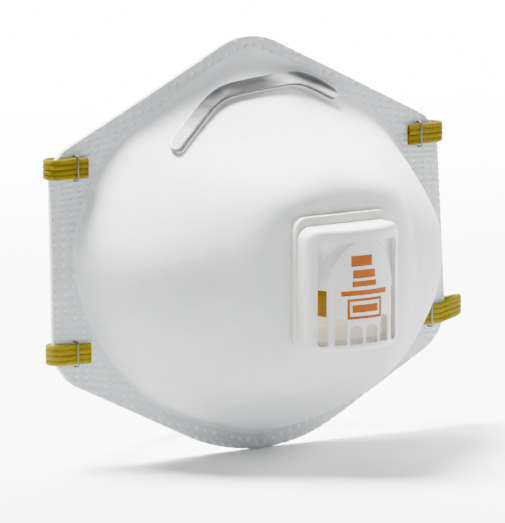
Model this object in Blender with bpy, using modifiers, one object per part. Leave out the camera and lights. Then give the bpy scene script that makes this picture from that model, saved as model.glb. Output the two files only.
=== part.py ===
"""Valved cup respirator (disposable dust mask): nested moulded cup layers with a dotted flange, nose
clip and foam, exhalation valve with a hinged flap, and two stapled head straps.

Metres, +Z up. The valve faces -Y and the face opening faces +Y. The origin is the middle of the face
opening, level with the middle of the flange's side edges.
"""

import math

import bmesh
import bpy
import numpy as np
from mathutils import Vector

# Flange outline: sharp corners in X and Z, and the radius that rounds each one.
APEX = (0.0, 0.0686)
UPPER_CORNER = (0.0722, 0.0332)
LOWER_CORNER = (0.0732, -0.0335)
CHIN = (0.0, -0.0693)
APEX_RADIUS = 0.024
UPPER_RADIUS = 0.012
LOWER_RADIUS = 0.015
CHIN_RADIUS = 0.062

# The flange is a shallow trough, swept back to the cheeks and leaning back towards the nose.
FLANGE_SWEEP = 0.63
FLANGE_LEAN = 0.057
FLANGE_MIDDLE_Y = -0.0055

# Dome inside the flange, as seen from the front: its radius about the valve's middle and how slowly
# it rises from its edge, each by direction in degrees above the horizontal. Over the cap, which is a
# share of the radius, it rises alike in every direction.
DOME_RADII = {90: 0.0645, 68: 0.0595, 55: 0.0592, 38: 0.0625, 20: 0.0640, 8: 0.0648, -8: 0.0620,
              -25: 0.0588, -45: 0.0558, -65: 0.0525, -90: 0.0525}
DOME_START = {90: 2.3, 75: 2.1, 55: 1.55, 35: 1.05, 15: 0.68, -5: 0.52, -25: 0.52, -55: 0.55, -90: 0.6}
DOME_MIDDLE = 0.70
DOME_CAP = 0.35
DOME_FULLNESS = 2.45
DOME_FRONT_Y = -0.052
DOME_OVAL = (0.062, 0.060)

# Cup layers, from the outer face inwards.
WEB_THICKNESS = 0.0005
FILTER_THICKNESS = 0.0006
SHELL_THICKNESS = 0.0006
GAP = 0.0003
CUP_THICKNESS = WEB_THICKNESS + FILTER_THICKNESS + SHELL_THICKNESS + 2 * GAP
DIRECTIONS = 48

# Exhalation valve. Heights are measured from its middle, depths along Y.
VALVE_Z = -0.00375
PAD_Y = -0.0510
PAD_HALF = (0.0185, 0.0218)
PAD_BLEND = 1.9
HOLE_HALF = (0.0137, 0.0161)
SEAT_HALF = (0.0175, 0.02075)
SEAT_PLATE = 0.0020
TUB_HALF = (0.0128, 0.0152)
TUB_WALL = 0.0012
TUB_BACK_Y = -0.0465
ORIFICE = (0.0084, 0.0080, -0.0092)
RIDGE_WIDTH = 0.0012
RIDGE_HEIGHT = 0.0010
BAR_WIDTH = 0.0012
FLAP_HALF_WIDTH = 0.0100
FLAP_TOP = 0.0125
FLAP_BOTTOM = -0.0115
FLAP_CORNER = 0.0060
FLAP_THICKNESS = 0.0004
FLAP_HINGE = 0.0123
COVER_HALF_WIDTH = 0.0170
COVER_TOP = 0.0180
COVER_BOTTOM = -0.0200
COVER_WALL = 0.0012
COVER_AXIS_Y = -0.0392
COVER_RADIUS = 0.0260
COVER_FRONT_Y = COVER_AXIS_Y - COVER_RADIUS
RECESS_RADIUS = 0.0238
POCKET_HALF_WIDTH = 0.0145
POCKET_TOP = 0.0138
POCKET_BOTTOM = -0.0182
PANEL_HALF_WIDTH = 0.0111
PANEL_TOP = 0.0142
PANEL_SHOULDER = -0.0008
SLOT_EDGES = (0.0115, 0.0143)
WINDOW_BOTTOM = -0.0178
WINDOWS = ((0.0008, 0.0050, -0.0120), (0.0060, 0.0098, -0.0094))

# Middle lines on the dome as X and Z: the nose clip as it was bent, a little unevenly, and the left
# half of the foam inside.
CLIP_LINE = ((-0.0343, 0.0354), (-0.0255, 0.0411), (-0.0166, 0.0470), (-0.0112, 0.0494),
             (-0.0025, 0.0507), (0.0060, 0.0512), (0.0126, 0.0515), (0.0176, 0.0511),
             (0.0232, 0.0490), (0.0286, 0.0459), (0.0338, 0.0426))
FOAM_HALF_LINE = ((-0.0345, 0.0345), (-0.0260, 0.0405), (-0.0170, 0.0465), (-0.0080, 0.0500),
                  (0.0, 0.0508))
CLIP_WIDTH = 0.0050
CLIP_THICKNESS = 0.0008
GLUE_WIDTH = 0.0042
GLUE_THICKNESS = 0.0003
FOAM_WIDTH = 0.0120
FOAM_THICKNESS = 0.0050

# Head straps and their staples.
STRAP_WIDTH = 0.0065
STRAP_THICKNESS = 0.0015
STRAP_HEIGHTS = {"upper": 0.0300, "lower": -0.0270}
STRAP_TAB_INNER = {"upper": 0.0600, "lower": 0.0612}
STRAP_EXIT_X = 0.0640
STRAP_STAND_OFF = 0.0034
STRAP_LEAD = 0.0030
STRAP_JOIN = 0.0004
STRAP_SLOPE = 0.62
STRAP_BULGE = {
    "upper_left": 0.0022,
    "upper_right": 0.0024,
    "lower_left": 0.0022,
    "lower_right": 0.0046,
}
# Free spans, from the exit to the middle: X, then how far behind and below the exit.
STRAP_ROUTE = (
    (0.0640, 0.0000, 0.0000),
    (0.0600, 0.0026, -0.0001),
    (0.0540, 0.0066, -0.0016),
    (0.0450, 0.0122, -0.0055),
    (0.0340, 0.0182, -0.0098),
    (0.0220, 0.0234, -0.0140),
    (0.0105, 0.0266, -0.0170),
    (0.0000, 0.0277, -0.0180),
)
STAPLE_X = {"upper": 0.0641, "lower": 0.0662}
STAPLE_WIRE = 0.0006
STAPLE_HALF = STRAP_WIDTH / 2 + GAP + STAPLE_WIRE / 2
STAPLE_CLINCH = 0.0022


def clear_scene():
    for obj in list(bpy.data.objects):
        bpy.data.objects.remove(obj, do_unlink=True)


def collection(name):
    made = bpy.data.collections.new(name)
    bpy.context.scene.collection.children.link(made)
    return made


def material(name, color, roughness, metallic=0.0):
    made = bpy.data.materials.new(name)
    made.use_nodes = True
    shader = made.node_tree.nodes["Principled BSDF"]
    shader.inputs["Base Color"].default_value = (*color, 1.0)
    shader.inputs["Roughness"].default_value = roughness
    shader.inputs["Metallic"].default_value = metallic
    return made


def new_object(name, mesh, into, surface=None):
    obj = bpy.data.objects.new(name, mesh)
    into.objects.link(obj)
    if surface:
        mesh.materials.append(surface)
    return obj


def shade(obj, angle=35):
    obj.data.shade_smooth()
    obj.data.set_sharp_from_angle(angle=math.radians(angle))


# --- Shape of the cup ---------------------------------------------------------------------------


def fillet(corner, before, after, radius, steps=10):
    """Points along the arc of this radius that rounds a corner of the outline."""
    corner, before, after = np.array(corner), np.array(before), np.array(after)
    to_before = (before - corner) / np.linalg.norm(before - corner)
    to_after = (after - corner) / np.linalg.norm(after - corner)
    half = math.acos(float(to_before @ to_after)) / 2
    centre = corner + (to_before + to_after) / (2 * math.cos(half)) * radius / math.sin(half)
    first = corner + to_before * radius / math.tan(half) - centre
    last = corner + to_after * radius / math.tan(half) - centre
    start = math.atan2(first[1], first[0])
    turn = math.remainder(math.atan2(last[1], last[0]) - start, 2 * math.pi)
    angles = [start + turn * k / steps for k in range(steps + 1)]
    return [centre + radius * np.array([math.cos(a), math.sin(a)]) for a in angles]


def flange_outline():
    """Dense closed outline of the flange in X and Z."""
    mirror = [(-x, z) for x, z in (UPPER_CORNER, LOWER_CORNER)]
    corners = [APEX, mirror[0], mirror[1], CHIN, LOWER_CORNER, UPPER_CORNER]
    radii = [APEX_RADIUS, UPPER_RADIUS, LOWER_RADIUS, CHIN_RADIUS, LOWER_RADIUS, UPPER_RADIUS]
    points = []
    for i, (corner, radius) in enumerate(zip(corners, radii)):
        points += fillet(corner, corners[i - 1], corners[(i + 1) % len(corners)], radius)
    ends = points[1:] + points[:1]
    return np.array([a + (b - a) * k / 30 for a, b in zip(points, ends) for k in range(30)])


OUTLINE = flange_outline() - np.array([0.0, VALVE_Z])
OUTLINE_ANGLES = np.arctan2(OUTLINE[:, 1], OUTLINE[:, 0])
OUTLINE_RADII = np.hypot(OUTLINE[:, 0], OUTLINE[:, 1])


def outline_radius(angle):
    """Distance from the middle of the valve to the flange's edge."""
    order = np.argsort(OUTLINE_ANGLES)
    return np.interp(angle, OUTLINE_ANGLES[order], OUTLINE_RADII[order], period=2 * math.pi)


def by_direction(angle, table):
    """A smooth value between the table's, which are given for degrees above the horizontal."""
    height = math.degrees(math.asin(max(-1.0, min(1.0, math.sin(angle)))))
    keys = np.array(sorted(table), float)
    values = np.array([table[k] for k in sorted(table)], float)
    slopes = np.gradient(values, keys)
    slopes[0] = slopes[-1] = 0.0
    i = int(np.clip(np.searchsorted(keys, height) - 1, 0, len(keys) - 2))
    span = keys[i + 1] - keys[i]
    t = (height - keys[i]) / span
    start = (1 + 2 * t) * (1 - t) ** 2 * values[i] + t * (1 - t) ** 2 * span * slopes[i]
    end = t * t * (3 - 2 * t) * values[i + 1] + t * t * (t - 1) * span * slopes[i + 1]
    return start + end


def superellipse_radius(angle, half, power):
    across = abs(math.cos(angle) / half[0]) ** power + abs(math.sin(angle) / half[1]) ** power
    return across ** (-1 / power)


def smoothstep(t):
    t = min(1.0, max(0.0, t))
    return t * t * (3 - 2 * t)


def flange_y(x, z):
    return FLANGE_SWEEP * x * x + FLANGE_MIDDLE_Y + FLANGE_LEAN * z


def dome_radius(angle):
    return by_direction(angle, DOME_RADII)


def cup_y(x, z):
    """Depth of the cup's outer face in front of or behind a point."""
    dz = z - VALVE_Z
    angle = math.atan2(dz, x)
    radius = math.hypot(x, dz)
    edge = dome_radius(angle)
    if radius >= edge:
        return flange_y(x, z)
    start_y = flange_y(edge * math.cos(angle), VALVE_Z + edge * math.sin(angle))
    inward = 1 - radius / edge
    oval = superellipse_radius(angle, DOME_OVAL, 2)
    around = edge + (oval - edge) * smoothstep(1.5 * inward)
    outward = smoothstep((radius / edge - DOME_CAP) / (1 - DOME_CAP))
    power = DOME_MIDDLE + (by_direction(angle, DOME_START) - DOME_MIDDLE) * outward
    rise = (1 - (radius / around) ** DOME_FULLNESS) ** power
    y = start_y + (DOME_FRONT_Y - start_y) * rise
    pad = (abs(x / PAD_HALF[0]) ** 5 + abs(dz / PAD_HALF[1]) ** 5) ** 0.2
    flat = smoothstep((PAD_BLEND - pad) / (PAD_BLEND - 1))
    return y + (PAD_Y - y) * flat


def cup_point(x, z):
    return Vector((x, cup_y(x, z), z))


def cup_normal(x, z, step=0.0008):
    """Outward normal of the cup's outer face, which looks to -Y."""
    along_x = cup_point(x + step, z) - cup_point(x - step, z)
    along_z = cup_point(x, z + step) - cup_point(x, z - step)
    return along_x.cross(along_z).normalized()


# --- Cup layers ---------------------------------------------------------------------------------


def cup_columns():
    """Places and outward normals on the cup's outer face, from the flange's edge to the hole."""
    stops = (0.0, 0.03, 0.09, 0.17, 0.27, 0.39, 0.53, 0.70, 0.86, 1.0)
    columns = []
    for k in range(DIRECTIONS):
        angle = 2 * math.pi * k / DIRECTIONS
        outer = outline_radius(angle)
        edge = dome_radius(angle)
        hole = superellipse_radius(angle, HOLE_HALF, 8)
        radii = [outer, (outer + edge) / 2] + [edge + (hole - edge) * s for s in stops]
        places = [(r * math.cos(angle), VALVE_Z + r * math.sin(angle)) for r in radii]
        columns.append([(cup_point(x, z), cup_normal(x, z)) for x, z in places])
    return columns


def layer_mesh(name, columns, depth, thickness):
    """Closed shell between two depths below the cup's outer face."""
    mesh = bmesh.new()
    sides = [[[mesh.verts.new(place - normal * d) for place, normal in column]
              for column in columns] for d in (depth, depth + thickness)]
    outer, inner = sides
    last = len(columns[0]) - 1
    for k in range(len(columns)):
        j = (k + 1) % len(columns)
        for i in range(last):
            mesh.faces.new((outer[k][i], outer[j][i], outer[j][i + 1], outer[k][i + 1]))
            mesh.faces.new((inner[k][i], inner[k][i + 1], inner[j][i + 1], inner[j][i]))
        mesh.faces.new((outer[k][0], inner[k][0], inner[j][0], outer[j][0]))
        mesh.faces.new((outer[k][last], outer[j][last], inner[j][last], inner[k][last]))
    bmesh.ops.recalc_face_normals(mesh, faces=mesh.faces)
    data = bpy.data.meshes.new(name)
    mesh.to_mesh(data)
    mesh.free()
    return data


def cup_layer(name, columns, depth, thickness, cutter, into, surface):
    obj = new_object(name, layer_mesh(name, columns, depth, thickness), into, surface)
    holes = obj.modifiers.new("Staple holes", "BOOLEAN")
    holes.operation = "DIFFERENCE"
    holes.object = cutter
    holes.solver = "EXACT"
    shade(obj, 50)
    return obj


# --- Bands that follow a line of points ---------------------------------------------------------


def band(name, centres, normals, width, thickness, into, surface):
    """A flat strip along a line of points, as thick to each side of it."""
    mesh = bmesh.new()
    pairs = []
    for i, (centre, normal) in enumerate(zip(centres, normals)):
        before, after = centres[max(i - 1, 0)], centres[min(i + 1, len(centres) - 1)]
        across = (after - before).cross(normal).normalized() * width / 2
        pairs.append((mesh.verts.new(centre - across), mesh.verts.new(centre + across)))
    for (a, b), (c, d) in zip(pairs, pairs[1:]):
        mesh.faces.new((a, b, d, c))
    data = bpy.data.meshes.new(name)
    mesh.to_mesh(data)
    mesh.free()
    obj = new_object(name, data, into, surface)
    solid = obj.modifiers.new("Thickness", "SOLIDIFY")
    solid.thickness = thickness
    solid.offset = 0.0
    solid.use_even_offset = True
    shade(obj)
    return obj


def smooth_line(points, steps):
    """Catmull-Rom curve through the points, with this many steps between neighbours."""
    points = [Vector(p) for p in points]
    ends = [2 * points[0] - points[1]] + points + [2 * points[-1] - points[-2]]
    line = []
    for a, b, c, d in zip(ends, ends[1:], ends[2:], ends[3:]):
        for k in range(steps):
            t = k / steps
            line.append(
                0.5 * (2 * b + (c - a) * t + (2 * a - 5 * b + 4 * c - d) * t * t
                       + (3 * b - a - 3 * c + d) * t ** 3)
            )
    return line + [points[-1]]


def line_on_dome(points, shorten=1.0):
    """Smooth line in X and Z through points on the dome, drawn in towards X = 0."""
    return smooth_line([(x * shorten, 0.0, z) for x, z in points], 4)


def draped_band(name, line, width, low, high, into, surface, strips=4):
    """A closed band that follows the cup along and across, between two heights over its face."""
    mesh = bmesh.new()
    rows = []
    for i, place in enumerate(line):
        along = line[min(i + 1, len(line) - 1)] - line[max(i - 1, 0)]
        across = Vector((-along.z, 0.0, along.x)).normalized()
        step = 0.001
        ahead, astern = place + across * step, place - across * step
        stretch = (cup_point(ahead.x, ahead.z) - cup_point(astern.x, astern.z)).length / (2 * step)
        row = []
        for j in range(strips + 1):
            at = place + across * width / stretch * (j / strips - 0.5)
            foot, normal = cup_point(at.x, at.z), cup_normal(at.x, at.z, 0.002)
            row.append((mesh.verts.new(foot + normal * low), mesh.verts.new(foot + normal * high)))
        rows.append(row)
    for here, there in zip(rows, rows[1:]):
        for j in range(strips):
            for side in (0, 1):
                mesh.faces.new((here[j][side], there[j][side], there[j + 1][side], here[j + 1][side]))
        for j in (0, strips):
            mesh.faces.new((here[j][0], here[j][1], there[j][1], there[j][0]))
    for row in (rows[0], rows[-1]):
        for j in range(strips):
            mesh.faces.new((row[j][0], row[j][1], row[j + 1][1], row[j + 1][0]))
    bmesh.ops.recalc_face_normals(mesh, faces=mesh.faces)
    data = bpy.data.meshes.new(name)
    mesh.to_mesh(data)
    mesh.free()
    obj = new_object(name, data, into, surface)
    shade(obj, 50)
    return obj


def nose_parts(into, metal, glue, foam):
    low = 2 * GAP
    high = low + GLUE_THICKNESS
    glued = line_on_dome(CLIP_LINE, 0.98)
    draped_band("nose_clip_adhesive", glued, GLUE_WIDTH, low, high, into, glue, 2)
    low = high + GAP
    high = low + CLIP_THICKNESS
    draped_band("nose_clip", line_on_dome(CLIP_LINE), CLIP_WIDTH, low, high, into, metal, 2)
    mirrored = [(-x, z) for x, z in reversed(FOAM_HALF_LINE[:-1])]
    high = -CUP_THICKNESS - 2 * GAP
    low = high - FOAM_THICKNESS
    line = line_on_dome(list(FOAM_HALF_LINE) + mirrored)
    draped_band("nose_foam", line, FOAM_WIDTH, low, high, into, foam)


# --- Valve --------------------------------------------------------------------------------------


def rounded_box(half_width, top, bottom, radius, steps=5):
    """Outline of a rectangle with rounded corners, in X and height above the valve's middle."""
    points = []
    for sx, z, start in ((1, top, 0), (-1, top, 90), (-1, bottom, 180), (1, bottom, 270)):
        cx = sx * (half_width - radius)
        cz = z - radius if z == top else z + radius
        for k in range(steps + 1):
            angle = math.radians(start + 90 * k / steps)
            points.append((cx + radius * math.cos(angle), cz + radius * math.sin(angle)))
    return points


def arch(half_width, top, shoulder, bottom, steps=16):
    """Outline with straight sides up to the shoulder and half an ellipse above it."""
    turns = [math.pi * k / steps for k in range(steps + 1)]
    crown = [(half_width * math.cos(a), shoulder + (top - shoulder) * math.sin(a)) for a in turns]
    return crown + [(-half_width, bottom), (half_width, bottom)]


def prism(name, outline, front, back, into, surface=None, rounding=0.0):
    """An outline in X and height, as a solid from its front depth to its back depth."""
    mesh = bmesh.new()
    base = [mesh.verts.new((x, back, VALVE_Z + z)) for x, z in outline]
    face = mesh.faces.new(base)
    grown = bmesh.ops.extrude_face_region(mesh, geom=[face])
    moved = [v for v in grown["geom"] if isinstance(v, bmesh.types.BMVert)]
    bmesh.ops.translate(mesh, verts=moved, vec=(0, front - back, 0))
    if rounding:
        edges = [e for e in mesh.edges if all(v in moved for v in e.verts)]
        bmesh.ops.bevel(mesh, geom=edges, offset=rounding, segments=3, affect="EDGES", profile=0.5)
    bmesh.ops.recalc_face_normals(mesh, faces=mesh.faces)
    data = bpy.data.meshes.new(name)
    mesh.to_mesh(data)
    mesh.free()
    return new_object(name, data, into, surface)


def combine(obj, operation, other, helpers):
    """Boolean with another object, which becomes a helper."""
    step = obj.modifiers.new(other.name, "BOOLEAN")
    step.operation = operation
    step.object = other
    step.solver = "EXACT"
    if other.name not in helpers.objects:
        helpers.objects.link(other)
    other.hide_render = True
    other.display_type = "WIRE"


def valve_seat(into, helpers, surface):
    plate_front = PAD_Y - GAP - SEAT_PLATE
    seat = prism("valve_seat", rounded_box(SEAT_HALF[0], SEAT_HALF[1], -SEAT_HALF[1], 0.004),
                 plate_front, PAD_Y - GAP, into, surface, 0.0006)
    tub = prism("seat_tub", rounded_box(TUB_HALF[0], TUB_HALF[1], -TUB_HALF[1], 0.0050),
                PAD_Y - SEAT_PLATE / 2, TUB_BACK_Y, helpers)
    combine(seat, "UNION", tub, helpers)
    inner = (TUB_HALF[0] - TUB_WALL, TUB_HALF[1] - TUB_WALL)
    floor_y = TUB_BACK_Y - TUB_WALL
    hollow = prism("seat_hollow", rounded_box(inner[0], inner[1], -inner[1], 0.0038),
                   plate_front - 0.001, floor_y, helpers)
    combine(seat, "DIFFERENCE", hollow, helpers)
    half, top, bottom = ORIFICE
    ridge = prism("seat_ridge",
                  rounded_box(half + RIDGE_WIDTH, top + 0.0035, bottom - RIDGE_WIDTH, 0.003),
                  floor_y - RIDGE_HEIGHT, floor_y + TUB_WALL / 2, helpers)
    combine(seat, "UNION", ridge, helpers)
    orifice = prism("seat_orifice", rounded_box(half, top, bottom, 0.002),
                    floor_y - 0.003, TUB_BACK_Y + 0.001, helpers)
    combine(seat, "DIFFERENCE", orifice, helpers)
    post = prism("seat_post", rounded_box(BAR_WIDTH / 2, top + 0.001, bottom - 0.001, 0.0003, 1),
                 floor_y - RIDGE_HEIGHT / 2, TUB_BACK_Y - TUB_WALL / 4, helpers)
    combine(seat, "UNION", post, helpers)
    middle = (top + bottom) / 2
    rail = prism("seat_rail",
                 rounded_box(half + 0.001, middle + BAR_WIDTH / 2, middle - BAR_WIDTH / 2, 0.0003, 1),
                 floor_y - RIDGE_HEIGHT / 3, TUB_BACK_Y - TUB_WALL / 3, helpers)
    combine(seat, "UNION", rail, helpers)
    shade(seat)
    return seat


def valve_flap(into, surface):
    """Flap resting on the seat's ridge, with its origin on the hinge line at its top edge."""
    back = TUB_BACK_Y - TUB_WALL - RIDGE_HEIGHT - GAP
    rounded = rounded_box(FLAP_HALF_WIDTH, FLAP_TOP, FLAP_BOTTOM, FLAP_CORNER, 8)
    lower = [p for p in rounded if p[1] < FLAP_BOTTOM + 1.01 * FLAP_CORNER]
    outline = [(FLAP_HALF_WIDTH, FLAP_TOP), (-FLAP_HALF_WIDTH, FLAP_TOP)] + lower
    flap = prism("valve_flap", outline, back - FLAP_THICKNESS, back, into, surface)
    hinge = Vector((0.0, back - FLAP_THICKNESS / 2, VALVE_Z + FLAP_HINGE))
    for vertex in flap.data.vertices:
        vertex.co -= hinge
    flap.location = hinge
    shade(flap)
    return flap


def barrel(name, radius, helpers, half_height=0.03, steps=48):
    """Upright slice of a cylinder about the axis of the cover's curved front."""
    spread = math.radians(62)
    turns = [-spread + 2 * spread * k / steps for k in range(steps + 1)]
    front = [(radius * math.sin(a), COVER_AXIS_Y - radius * math.cos(a)) for a in turns]
    outline = [(front[0][0], COVER_AXIS_Y)] + front + [(front[-1][0], COVER_AXIS_Y)]
    mesh = bmesh.new()
    face = mesh.faces.new([mesh.verts.new((x, y, VALVE_Z - half_height)) for x, y in outline])
    grown = bmesh.ops.extrude_face_region(mesh, geom=[face])
    moved = [v for v in grown["geom"] if isinstance(v, bmesh.types.BMVert)]
    bmesh.ops.translate(mesh, verts=moved, vec=(0, 0, 2 * half_height))
    bmesh.ops.recalc_face_normals(mesh, faces=mesh.faces)
    data = bpy.data.meshes.new(name)
    mesh.to_mesh(data)
    mesh.free()
    return new_object(name, data, helpers)


def cover_cut(name, outline, helpers, front=COVER_FRONT_Y - 0.002):
    """A cutter through the cover, from in front of it to behind its back face."""
    return prism(name, outline, front, PAD_Y - GAP, helpers)


def valve_cover(into, helpers, surface):
    """Rounded cover on a curved front: an arched panel, a sunk pocket round it, slots and windows."""
    back = PAD_Y - 2 * GAP - SEAT_PLATE
    cover = prism("valve_cover", rounded_box(COVER_HALF_WIDTH, COVER_TOP, COVER_BOTTOM, 0.0035),
                  COVER_FRONT_Y - 0.001, back, into, surface)
    combine(cover, "INTERSECT", barrel("cover_front", COVER_RADIUS, helpers), helpers)

    box = rounded_box(POCKET_HALF_WIDTH, POCKET_TOP, POCKET_BOTTOM, 0.0014)
    pocket = cover_cut("cover_pocket", box, helpers)
    combine(pocket, "DIFFERENCE", barrel("pocket_floor", RECESS_RADIUS, helpers), helpers)
    panel = arch(PANEL_HALF_WIDTH, PANEL_TOP, PANEL_SHOULDER, POCKET_BOTTOM - 0.001)
    kept = cover_cut("cover_panel", panel, helpers, COVER_FRONT_Y - 0.004)
    combine(pocket, "DIFFERENCE", kept, helpers)
    combine(cover, "DIFFERENCE", pocket, helpers)

    chamber = cover_cut("cover_chamber", box, helpers)
    roof = barrel("chamber_roof", RECESS_RADIUS - COVER_WALL, helpers)
    combine(chamber, "INTERSECT", roof, helpers)
    combine(cover, "DIFFERENCE", chamber, helpers)

    inside = arch(PANEL_HALF_WIDTH - COVER_WALL, PANEL_TOP - 2 * COVER_WALL, PANEL_SHOULDER,
                  POCKET_BOTTOM + 0.0003)
    hollow = cover_cut("panel_hollow", inside, helpers)
    combine(hollow, "INTERSECT", barrel("panel_roof", COVER_RADIUS - COVER_WALL, helpers), helpers)
    combine(cover, "DIFFERENCE", hollow, helpers)

    for side, where in ((-1, "left"), (1, "right")):
        near, far = sorted(side * x for x in SLOT_EDGES)
        slot = [(near, PANEL_SHOULDER), (near, WINDOW_BOTTOM),
                (far, WINDOW_BOTTOM), (far, PANEL_SHOULDER)]
        combine(cover, "DIFFERENCE", cover_cut(f"cover_slot_{where}", slot, helpers), helpers)
        for index, (left, right, top) in enumerate(WINDOWS):
            middle, half = side * (left + right) / 2, (right - left) / 2
            outline = [(middle + x, z) for x, z in arch(half, top, top - half * 0.8, WINDOW_BOTTOM, 8)]
            opening = cover_cut(f"cover_window_{where}_{index}", outline, helpers)
            combine(cover, "DIFFERENCE", opening, helpers)
    shade(cover)
    return cover


# --- Straps and staples -------------------------------------------------------------------------


def strap_end(name, side, height, bulge, into, surface):
    """Stapled tab on the flange's front, its turn round the edge, and its short run behind."""
    z = STRAP_HEIGHTS[height]
    edge = flange_edge_x(z)
    tab = STRAP_TAB_INNER[height]
    lift = GAP + STRAP_THICKNESS / 2
    inset = edge - 0.003
    turn = edge + 0.0006 + 0.3 * (bulge - 0.002)
    behind = CUP_THICKNESS + lift
    route = [
        (tab, flange_y(tab, z) - lift),
        ((tab + inset) / 2, flange_y((tab + inset) / 2, z) - lift),
        (inset, flange_y(inset, z) - lift),
        (turn, flange_y(edge, z) - lift - 0.0001),
        (edge + bulge, flange_y(edge, z) + CUP_THICKNESS / 2),
        (turn, flange_y(edge, z) + behind + 0.0003),
        (inset, flange_y(inset, z) + behind + 0.0008),
        (STRAP_EXIT_X + STRAP_LEAD, exit_y(z) - STRAP_LEAD * STRAP_SLOPE),
        (STRAP_EXIT_X + STRAP_JOIN, exit_y(z) - STRAP_JOIN * STRAP_SLOPE),
    ]
    line = smooth_line([(side * x, y, z) for x, y in route], 4)
    normals = []
    for i in range(len(line)):
        along = line[min(i + 1, len(line) - 1)] - line[max(i - 1, 0)]
        normals.append(along.cross(Vector((0, 0, 1))).normalized())
    return band(name, line, normals, STRAP_WIDTH, STRAP_THICKNESS, into, surface)


def flange_edge_x(z):
    """Half width of the flange at a height."""
    rise = z - VALVE_Z
    radius = UPPER_CORNER[0]
    for _ in range(12):
        radius = outline_radius(math.asin(rise / radius))
    return math.sqrt(radius * radius - rise * rise)


def exit_y(z):
    """Depth at which a strap's free span leaves the run behind the flange."""
    return flange_y(STRAP_EXIT_X, z) + CUP_THICKNESS + GAP + STRAP_THICKNESS / 2 + STRAP_STAND_OFF


def strap_span(name, height, into, surface):
    """The free span behind the cup: it bows back and droops, and leans over as it droops."""
    z = STRAP_HEIGHTS[height]
    half = [(x, exit_y(z) + back, z + down) for x, back, down in STRAP_ROUTE]
    route = [(-x, y, h) for x, y, h in half] + list(reversed(half[:-1]))
    line = smooth_line(route, 3)
    drop = -STRAP_ROUTE[-1][2]
    normals = []
    for i, place in enumerate(line):
        along = line[min(i + 1, len(line) - 1)] - line[max(i - 1, 0)]
        tilt = 0.6 * smoothstep((z - place.z) / drop)
        upward = Vector((0, math.sin(tilt), math.cos(tilt)))
        normals.append(along.cross(upward).normalized())
    return band(name, line, normals, STRAP_WIDTH, STRAP_THICKNESS, into, surface)


def staple(name, side, height, into, surface):
    """Bent wire: a crown over the strap, two legs through the flange, ends clinched behind it."""
    z = STRAP_HEIGHTS[height]
    front = flange_y(STAPLE_X[height], z) - 2 * GAP - STRAP_THICKNESS - STAPLE_WIRE / 2
    back = flange_y(STAPLE_X[height], z) + CUP_THICKNESS + GAP + STAPLE_WIRE / 2
    bend = STAPLE_WIRE
    half = [
        (front, 0.0),
        (front, STAPLE_HALF - bend),
        (front + 0.3 * bend, STAPLE_HALF - 0.3 * bend),
        (front + bend, STAPLE_HALF),
        (back - bend, STAPLE_HALF),
        (back - 0.3 * bend, STAPLE_HALF - 0.3 * bend),
        (back, STAPLE_HALF - bend),
        (back, STAPLE_HALF - STAPLE_CLINCH),
    ]
    path = [(y, -h) for y, h in reversed(half[1:])] + half
    curve = bpy.data.curves.new(name, "CURVE")
    curve.dimensions = "3D"
    curve.bevel_depth = STAPLE_WIRE / 2
    curve.bevel_resolution = 2
    curve.use_fill_caps = True
    spline = curve.splines.new("POLY")
    spline.points.add(len(path) - 1)
    for point, (y, h) in zip(spline.points, path):
        point.co = (side * STAPLE_X[height], y, z + h, 1.0)
    curve.materials.append(surface)
    obj = bpy.data.objects.new(name, curve)
    into.objects.link(obj)
    return obj


def staple_holes(helpers):
    """One cutter with a short round bar for every staple leg."""
    mesh = bmesh.new()
    for side in (-1, 1):
        for height, z in STRAP_HEIGHTS.items():
            for leg in (-1, 1):
                made = bmesh.ops.create_cone(
                    mesh, cap_ends=True, segments=8, radius1=STAPLE_WIRE / 2 + GAP,
                    radius2=STAPLE_WIRE / 2 + GAP, depth=0.012)
                turn = Vector((0, 0, 1)).rotation_difference(Vector((0, 1, 0))).to_matrix()
                bmesh.ops.rotate(mesh, verts=made["verts"], matrix=turn, cent=(0, 0, 0))
                place = (side * STAPLE_X[height], flange_y(STAPLE_X[height], z), z + leg * STAPLE_HALF)
                bmesh.ops.translate(mesh, verts=made["verts"], vec=place)
    data = bpy.data.meshes.new("staple_holes")
    mesh.to_mesh(data)
    mesh.free()
    cutter = new_object("staple_holes", data, helpers)
    cutter.hide_render = True
    cutter.display_type = "WIRE"
    return cutter


def build():
    clear_scene()
    parts = collection("dust_mask")
    helpers = collection("cutters")
    web = material("cover_web", (0.86, 0.87, 0.88), 0.85)
    media = material("filter_media", (0.90, 0.90, 0.88), 0.9)
    shell = material("moulded_shell", (0.88, 0.88, 0.87), 0.85)
    plastic = material("valve_plastic", (0.88, 0.88, 0.87), 0.35)
    amber = material("flap_rubber", (0.62, 0.42, 0.04), 0.4)
    metal = material("clip_aluminium", (0.72, 0.73, 0.74), 0.35, 1.0)
    glue = material("clip_adhesive", (0.85, 0.84, 0.78), 0.5)
    foam = material("nose_foam", (0.55, 0.56, 0.56), 0.95)
    yellow = material("strap_braid", (0.68, 0.58, 0.03), 0.75)
    steel = material("staple_steel", (0.20, 0.20, 0.20), 0.4, 1.0)

    cutter = staple_holes(helpers)
    columns = cup_columns()
    depth = 0.0
    layers = (("outer_cover_web", WEB_THICKNESS, web), ("filter_layer", FILTER_THICKNESS, media),
              ("shaping_shell", SHELL_THICKNESS, shell))
    for name, thickness, surface in layers:
        cup_layer(name, columns, depth, thickness, cutter, parts, surface)
        depth += thickness + GAP
    nose_parts(parts, metal, glue, foam)
    valve_seat(parts, helpers, plastic)
    valve_flap(parts, amber)
    valve_cover(parts, helpers, plastic)
    for height in STRAP_HEIGHTS:
        strap_span(f"{height}_strap", height, parts, yellow)
        for side, where in ((-1, "left"), (1, "right")):
            corner = f"{height}_{where}"
            strap_end(f"{height}_strap_end_{where}", side, height, STRAP_BULGE[corner], parts, yellow)
            staple(f"staple_{corner}", side, height, parts, steel)


build()
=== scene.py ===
import math

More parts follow.
